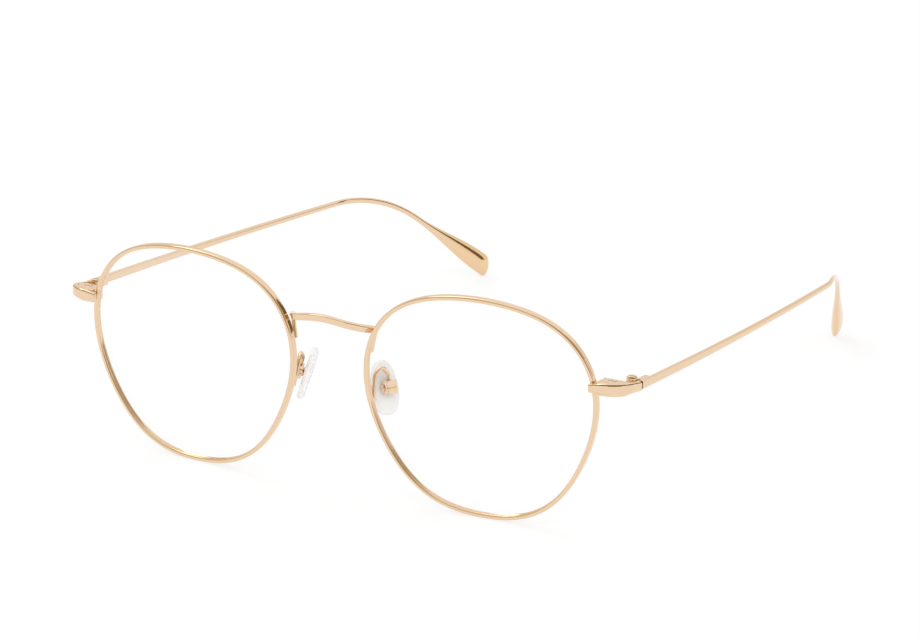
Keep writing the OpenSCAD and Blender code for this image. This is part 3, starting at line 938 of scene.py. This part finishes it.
def turned_screw(name, to_row, profile, slot_at, slot_depth):
    """A screw turned along Z from (height, radius) stops in millimetres, with a slot across its head."""
    profile = np.array(profile) * MM
    path = np.column_stack([np.zeros((len(profile), 2)), profile[:, 0]])
    across = np.outer(profile[:, 1], [1.0, 0, 0])
    upright = np.outer(profile[:, 1], [0, 1.0, 0])
    piece = wire(name, ring(48), path, across, upright, 2, 2, turned_gold())
    reach, wide, above = 2 * profile[:, 1].max(), 0.1 * MM, 0.3 * MM
    low, top = (slot_at - slot_depth) * MM, slot_at * MM + above
    corners = [(x, y, z) for x in (-reach, reach) for y in (-wide, wide) for z in (low, top)]
    faces = [(0, 1, 3, 2), (4, 6, 7, 5), (0, 4, 5, 1), (2, 3, 7, 6), (0, 2, 6, 4), (1, 5, 7, 3)]
    blade = new_piece(name + "_slot", mesh_of(name + "_slot", corners, faces))
    cut = piece.modifiers.new("Slot", "BOOLEAN")
    cut.object = blade
    cut.solver = "EXACT"
    as_plain_mesh(piece)
    bpy.data.meshes.remove(blade.data)
    piece.data.transform(Matrix(to_row.tolist()))
    return piece


def screw_stops(low, neck, top, shank, head):
    """Heights and radii of a screw: a chamfered, threaded shank and a head with soft edges."""
    pitch, thread, soft = 0.22, 0.05, 0.09
    stops = [(low, shank * 0.5), (low + 0.02, shank * 0.78), (low + 0.12, shank)]
    for k in range(int((neck - low - 0.5) / pitch)):
        z = low + 0.2 + k * pitch
        stops += [(z, shank), (z + pitch * 0.3, shank - thread), (z + pitch * 0.6, shank)]
    stops += [(neck, shank), (neck + 0.001, head - soft)]
    turns = np.linspace(0, np.pi / 2, 6)
    stops += [(neck + soft * (1 - math.cos(a)), head - soft + soft * math.sin(a)) for a in turns[1:]]
    stops += [(top - soft + soft * math.sin(a), head - soft + soft * math.cos(a)) for a in turns]
    stops += [(top + 0.02, head * 0.5)]
    return stops


class EYEGLASSES_OT_screws(bpy.types.Operator):
    """Turns the slotted screws of the rim locks, the hinges and the pad boxes."""

    bl_idname = "eyeglasses.screws"
    bl_label = "Screws"

    def execute(self, context):
        out, back = hinge_spot()
        s = settings().front
        in_corner = (0.9 * MM, -1.5 * MM)
        lock = (out + settings().temple.reach - s.corner + in_corner[0], STRAP_FACE + s.corner + in_corner[1])
        pivot = settings().pad.thickness / 2 + PAD_PIVOT
        for side in SIDES:
            row = stood(side)
            lengthwise = row @ in_temple()
            through = row @ in_pad() @ move(pivot, 0, 0) @ turn("X", math.pi / 2)
            places = {
                "lock": lengthwise @ move(*lock, 0), "hinge": lengthwise @ move(out, back, 0), "pad": through
            }
            for kind, (sizes, top, depth) in SCREWS.items():
                piece = turned_screw(f"{kind}_screw_{side}", places[kind], screw_stops(*sizes), top, depth)
                finished(piece, f"{side}_{kind}_screw", turned_gold())
        return {"FINISHED"}


class EYEGLASSES_OT_temples(bpy.types.Operator):
    """Draws the temples: tall at the hinge, slim at the bend and flat at the end."""

    bl_idname = "eyeglasses.temples"
    bl_label = "Temples"

    def execute(self, context):
        s = settings().temple
        out, back = hinge_spot()
        bend_length = s.bend_radius * s.drop
        whole = s.run + bend_length + s.tip
        hinge_gap, finer, nose, corner = 0.12 * MM, s.run - 12 * MM, 3.2 * MM, 1.3 * MM
        stops = np.concatenate([
            np.linspace(hinge_gap, finer, 90, endpoint=False),
            np.linspace(finer, whole - nose, 160, endpoint=False),
            whole - nose * (1 - np.sin(np.linspace(0, np.pi / 2, 30))),
        ])

        def bent(start, radius, turn_by):
            a = turn_by * np.clip((stops - start) / (radius * turn_by), 0, 1)
            past = np.maximum(0, stops - start - radius * turn_by)
            ahead = np.minimum(stops, start) + radius * np.sin(a) + past * np.cos(a)
            return ahead, radius * (1 - np.cos(a)) + past * np.sin(a)

        def ease(x):
            x = np.clip(x, 0, 1)
            return x * x * (3 - 2 * x)

        part = stops / s.run
        bow = s.bow * np.where(part < 1, part**2, 2 * part - 1)
        ahead, down = bent(s.run, s.bend_radius, s.drop)
        curl_early, curl_radius = 3 * MM, 16 * MM
        inward = bent(s.run - curl_early, curl_radius, s.curl)[1]
        path = np.column_stack([out + s.reach - s.thickness / 2 - bow - inward, back + ahead, -down])
        drop = s.drop * np.clip((stops - s.run) / bend_length, 0, 1)
        upright = np.column_stack([np.zeros(len(stops)), np.sin(drop), np.cos(drop)])
        along = directions_of(path)
        across = unit(np.cross(along, upright))
        slanted, flared, flare_run = 8 * MM, 24 * MM, 21 * MM
        upright = upright - along * (s.end_slant * ease((stops - whole + slanted) / slanted))[:, None]
        slim = np.minimum(1, part)
        flare = ease((stops - whole + flared) / flare_run)
        waist_height, waist_thickness = 1.3 * MM, 1.1 * MM
        tall = s.height + (waist_height - s.height) * slim
        tall = tall + (s.paddle - tall) * flare
        thick = s.thickness + (waist_thickness - s.thickness) * slim
        thick = thick + (s.paddle_thickness - thick) * flare

        def rounding(reach):
            return np.sqrt(1 - np.clip((stops - whole + reach) / reach, 0, 1) ** 2)

        end_cut, end_share = 2.9 * MM, 0.3
        tall = tall - end_cut * (1 - rounding(corner))
        thick = thick * (end_share + (1 - end_share) * rounding(nose))
        squareness, roundness, square_run, count = 4.2, 2.0, 60 * MM, 48
        power = squareness + (roundness - squareness) * ease(stops / square_run)
        sections = [pillow(p, count) for p in power]
        rings = [
            at + np.outer(flat[:, 0], a * w / 2) + np.outer(flat[:, 1], u * h / 2)
            for at, a, u, w, h, flat in zip(path, across, upright, thick, tall, sections)
        ]
        for side in SIDES:
            to_row = stood(side) @ in_temple()
            piece = lofted(f"temple_bar_{side}", [carried(to_row, r) for r in rings])
            # Painted reflection: the flat ends blend towards a deeper gold, standing in for the shaded floor
            # they mirror
            shade = np.concatenate([np.repeat(flare, count), [0, 1]]).astype(np.float32)
            piece.data.attributes.new("shade", "FLOAT", "POINT").data.foreach_set("value", shade)
            finished(piece, f"{side}_temple", temple_gold())
        return {"FINISHED"}


class EYEGLASSES_OT_pad_holders(bpy.types.Operator):
    """Bends the pad arms and finishes the boxes on their ends."""

    bl_idname = "eyeglasses.pad_holders"
    bl_label = "Pad holders"

    def execute(self, context):
        s = settings().pad
        braze = 0.03
        foot = (settings().front.rim_depth / 2 + s.arm_wire / 2) / MM + braze
        box_middle, box_top, straight = s.thickness / 2 + 1.225 * MM, 1.37 * MM, 2.95 * MM
        end, lift = carried(in_pad(), [[box_middle, 0, box_top], [box_middle, 0, straight]])
        high = (edge_spot(176, -0.5, foot + 1.8) + lift) / 2 + [0, 0, 1 * MM]
        on_rim = [(186.6, 0.15, 0), (184.4, 0.1, 0.05), (180.5, -0.1, 0.7), (176.5, -0.4, 1.5)]
        knots = [*(edge_spot(turns, out, foot + back) for turns, out, back in on_rim), high, lift, end]
        for side in SIDES:
            piece = round_wire(f"pad_arm_wire_{side}", stood(side), smooth_path(knots, 16), s.arm_wire)
            finished(piece, f"{side}_pad_arm", polished_gold())
            piece = softened(f"pad_box_{side}_soft", f"{side}_pad_box", settings().front.soft_edge)
            finished(piece, f"{side}_pad_box", polished_gold())
        return {"FINISHED"}


class EYEGLASSES_OT_nose_pads(bpy.types.Operator):
    """Moulds the silicone pads round their metal cores."""

    bl_idname = "eyeglasses.nose_pads"
    bl_label = "Nose pads"

    def execute(self, context):
        s = settings().pad
        squareness, taper, plate_edge = 2.3, 0.2, 0.07 * MM
        outline = pillow(squareness, 96) * [s.width / 2, s.length / 2]

        def layer(x, part):
            narrow = outline[:, 0] * (1 - taper * outline[:, 1] / s.length) * part
            tall = outline[:, 1] * (1 - (1 - part) * s.width / s.length)
            return np.column_stack([np.full(len(outline), x), narrow, tall])

        depth = np.array([0.5, 0.47, 0.35, 0.1, -0.2, -0.42, -0.5]) * s.thickness
        parts = np.array([0.76, 0.86, 0.95, 1, 0.98, 0.86, 0.7])
        side_wall = [layer(x, p) for x, p, _ in smooth_path(np.column_stack([depth, parts, parts]), 6)]

        def crowned(x, rise, part):
            return [layer(x + rise * (1 - f * f), part) * [1, f, f] for f in (0.1, 0.4, 0.7, 0.9)]

        back = crowned(depth[0], 0.05 * MM, parts[0])
        nose = crowned(depth[-1], -0.1 * MM, parts[-1])
        rings = back + side_wall + nose[::-1]
        for side in SIDES:
            to_row = stood(side) @ in_pad()
            piece = lofted(f"nose_pad_{side}_silicone", [carried(to_row, r) for r in rings])
            finished(piece, f"{side}_nose_pad", clear_silicone(), 60)
            piece = softened(f"pad_core_{side}_plate", f"{side}_pad_core", plate_edge)
            finished(piece, f"{side}_pad_core", dull_gold())
        return {"FINISHED"}


class EYEGLASSES_OT_stage(bpy.types.Operator):
    """Sets the floor, the light and the camera."""

    bl_idname = "eyeglasses.stage"
    bl_label = "Stage"

    def execute(self, context):
        s = settings().stage
        scene = context.scene
        scene.view_settings.view_transform = "Standard"
        self.lay_floor(s)
        self.light_world(scene, s)
        self.hang_cards()
        self.set_camera(scene, s)
        return {"FINISHED"}

    def lay_floor(self, s):
        """A wide pale floor that shows white to the camera and keeps a soft shadow."""
        count, radius, drop = 96, 3, 2e-5
        points = np.column_stack([radius * ring(count), np.full(count, -drop)])
        floor = new_piece("floor", mesh_of("floor", points, [tuple(range(count))]))
        material, shader, add, join = new_finish(
            "pale_floor", {"Base Color": s.floor, "Roughness": 1.0, "Specular IOR Level": 0.0}
        )
        seen = seen_directly(add)
        white = add("ShaderNodeEmission", {"Color": (1, 1, 1, 1), "Strength": 1.0})
        spot = add("ShaderNodeTexCoord").outputs["Object"]
        away = add("ShaderNodeVectorMath", {0: spot}, operation="LENGTH").outputs["Value"]
        glow = mapped(add, away, (0.25, 1.2), (0.72, 1))
        part = add("ShaderNodeMath", {0: seen, 1: glow}, operation="MULTIPLY")
        mix = add("ShaderNodeMixShader", {0: part.outputs[0], 1: shader.outputs[0], 2: white.outputs[0]})
        join(mix.outputs[0], material.node_tree.nodes["Material Output"].inputs["Surface"])
        floor.data.materials.append(material)

    def light_world(self, scene, s):
        """Even light from all round, white where it is seen directly or in a reflection."""
        world = bpy.data.worlds.new("studio")
        scene.world = world
        world.use_nodes = True
        tree = world.node_tree
        add = node_adder(tree)
        even = tree.nodes["Background"]
        even.inputs["Color"].default_value = (1, 1, 1, 1)
        even.inputs["Strength"].default_value = s.sky
        white = add("ShaderNodeBackground", {"Color": (1, 1, 1, 1), "Strength": 1.0})
        mix = add("ShaderNodeMixShader", {0: seen_directly(add), 1: even.outputs[0], 2: white.outputs[0]})
        tree.links.new(mix.outputs[0], tree.nodes["World Output"].inputs["Surface"])
        for name, at, size, watts in (
            ("key_lamp", (0.5, -0.9, 0.9), 0.9, 5.0),
            ("fill_lamp", (-0.9, 0.3, 0.9), 0.9, 4.0),
        ):
            lamp = bpy.data.lights.new(name, "AREA")
            lamp.energy, lamp.size = watts, size
            spot = bpy.data.objects.new(name, lamp)
            spot.location = at
            spot.rotation_euler = (-Vector(at)).to_track_quat("-Z", "Y").to_euler()
            scene.collection.objects.link(spot)

    def hang_cards(self):
        """Curved cards round the object, which only the plating mirrors, as lines along its edges.

        Each is given by its turns from straight behind, its heights in degrees and its tone."""
        wide, tall, away = 41, 9, 0.9
        for name, first, last, low, high, tone in (
            ("camera_card", 108, 168, 2, 58, (0.42, 0.33, 0.21, 1)),
            ("front_card", 168, 240, 12, 58, (0.70, 0.607, 0.47, 1)),
            ("right_card", 62, 108, 26, 54, (0.56, 0.477, 0.35, 1)),
            ("side_card", 36, 52, 3, 38, (0.17, 0.113, 0.04, 1)),
            ("warm_card", 54, 86, 1, 14, (1.0, 0.95, 0.83, 1)),
            ("left_card", 240, 310, 1, 48, (0.80, 0.735, 0.63, 1)),
            ("back_card", 310, 390, 2, 28, (0.90, 0.85, 0.77, 1)),
        ):
            around, up = np.meshgrid(np.linspace(first, last, wide), np.linspace(low, high, tall))
            around, up = np.radians(around), np.radians(up)
            points = np.stack([np.sin(around) * np.cos(up), np.cos(around) * np.cos(up), np.sin(up)], axis=-1)
            firsts = [wide * j + i for j in range(tall - 1) for i in range(wide - 1)]
            faces = [(k, k + 1, k + wide + 1, k + wide) for k in firsts]
            card = new_piece(name, mesh_of(name, away * points.reshape(-1, 3), faces))
            material, _, add, join = new_finish(name)
            glow = add("ShaderNodeEmission", {"Color": tone, "Strength": 1.0})
            join(glow.outputs[0], material.node_tree.nodes["Material Output"].inputs["Surface"])
            card.data.materials.append(material)
            card.visible_camera = card.visible_diffuse = card.visible_transmission = False
            card.visible_shadow = card.visible_volume_scatter = False

    def set_camera(self, scene, s):
        camera = bpy.data.cameras.new("camera")
        camera.lens, camera.sensor_width = s.lens, 36
        eye = bpy.data.objects.new("camera", camera)
        view = Vector(s.aim) - Vector(s.eye)
        level = view.to_track_quat("-Z", "Y").to_matrix().to_4x4()
        eye.matrix_world = Matrix.Translation(s.eye) @ level @ Matrix.Rotation(s.roll, 4, "Z")
        scene.collection.objects.link(eye)
        scene.camera = eye


class EYEGLASSES_PT_panel(bpy.types.Panel):
    """Lists the settings and the steps."""

    bl_idname = "EYEGLASSES_PT_panel"
    bl_label = "Wire eyeglasses"
    bl_space_type = "VIEW_3D"
    bl_region_type = "UI"
    bl_category = "Eyeglasses"

    def draw(self, context):
        groups = settings()
        for group in ("lens", "front", "pad", "temple", "finish", "stage"):
            box = self.layout.box()
            box.label(text=groups.bl_rna.properties[group].name)
            part = getattr(groups, group)
            for item in part.bl_rna.properties:
                if item.identifier not in ("rna_type", "name"):
                    box.prop(part, item.identifier)
        for step in STEPS:
            self.layout.operator(step.bl_idname)


GROUPS = (LensSizes, FrontSizes, PadSizes, TempleSizes, Finishes, StageLook, EyeglassesSettings)
STEPS = (
    EYEGLASSES_OT_stage,
    EYEGLASSES_OT_rims,
    EYEGLASSES_OT_lenses,
    EYEGLASSES_OT_bridge,
    EYEGLASSES_OT_end_pieces,
    EYEGLASSES_OT_hinges,
    EYEGLASSES_OT_screws,
    EYEGLASSES_OT_temples,
    EYEGLASSES_OT_pad_holders,
    EYEGLASSES_OT_nose_pads,
)
CLASSES = (*GROUPS, *STEPS, EYEGLASSES_PT_panel)


def register():
    for item in CLASSES:
        bpy.utils.register_class(item)
    bpy.types.Scene.eyeglasses = PointerProperty(type=EyeglassesSettings)


def unregister():
    del bpy.types.Scene.eyeglasses
    for item in reversed(CLASSES):
        bpy.utils.unregister_class(item)


def main():
    register()
    for step in STEPS:
        group, name = step.bl_idname.split(".")
        getattr(getattr(bpy.ops, group), name)()


if __name__ == "__main__":
    main()
